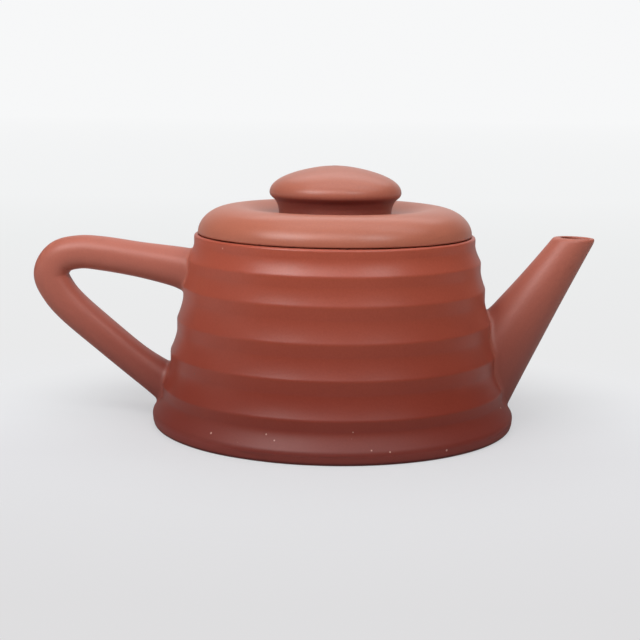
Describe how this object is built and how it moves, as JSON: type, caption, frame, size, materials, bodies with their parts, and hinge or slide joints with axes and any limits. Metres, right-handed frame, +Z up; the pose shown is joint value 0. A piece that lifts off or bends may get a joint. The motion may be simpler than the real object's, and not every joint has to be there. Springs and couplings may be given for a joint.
{
  "type": "yixing teapot",
  "caption": "Low round teapot of unglazed red clay with a terraced conical wall, a straight conical spout, an angular loop handle, and a raised-ring lid with a broad domed knob that lifts off.",
  "frame": {"origin": "middle of the flat foot, on the table", "axes": "+X towards the spout, -X towards the handle, +Z up"},
  "size_m": [0.1541, 0.1, 0.0706],
  "materials": {
    "red_clay": "unglazed fired red clay, burnished to a soft satin",
    "inner_clay": "the same clay inside the pot, left matte"
  },
  "bodies": {
    "pot": {"base_disc": "red_clay", "body_wall": "red_clay", "shoulder_ring": "red_clay", "spout": "red_clay", "strainer": "inner_clay", "handle": "red_clay"},
    "lid": {"lid_shell": "red_clay", "lid_flange": "inner_clay", "knob_collar": "red_clay", "knob_cap": "red_clay"}
  },
  "joints": [
    {"name": "lid_lift", "type": "slide", "parent": "pot", "child": "lid", "axis": [0, 0, 1], "range_m": [0, 0.08]}
  ]
}
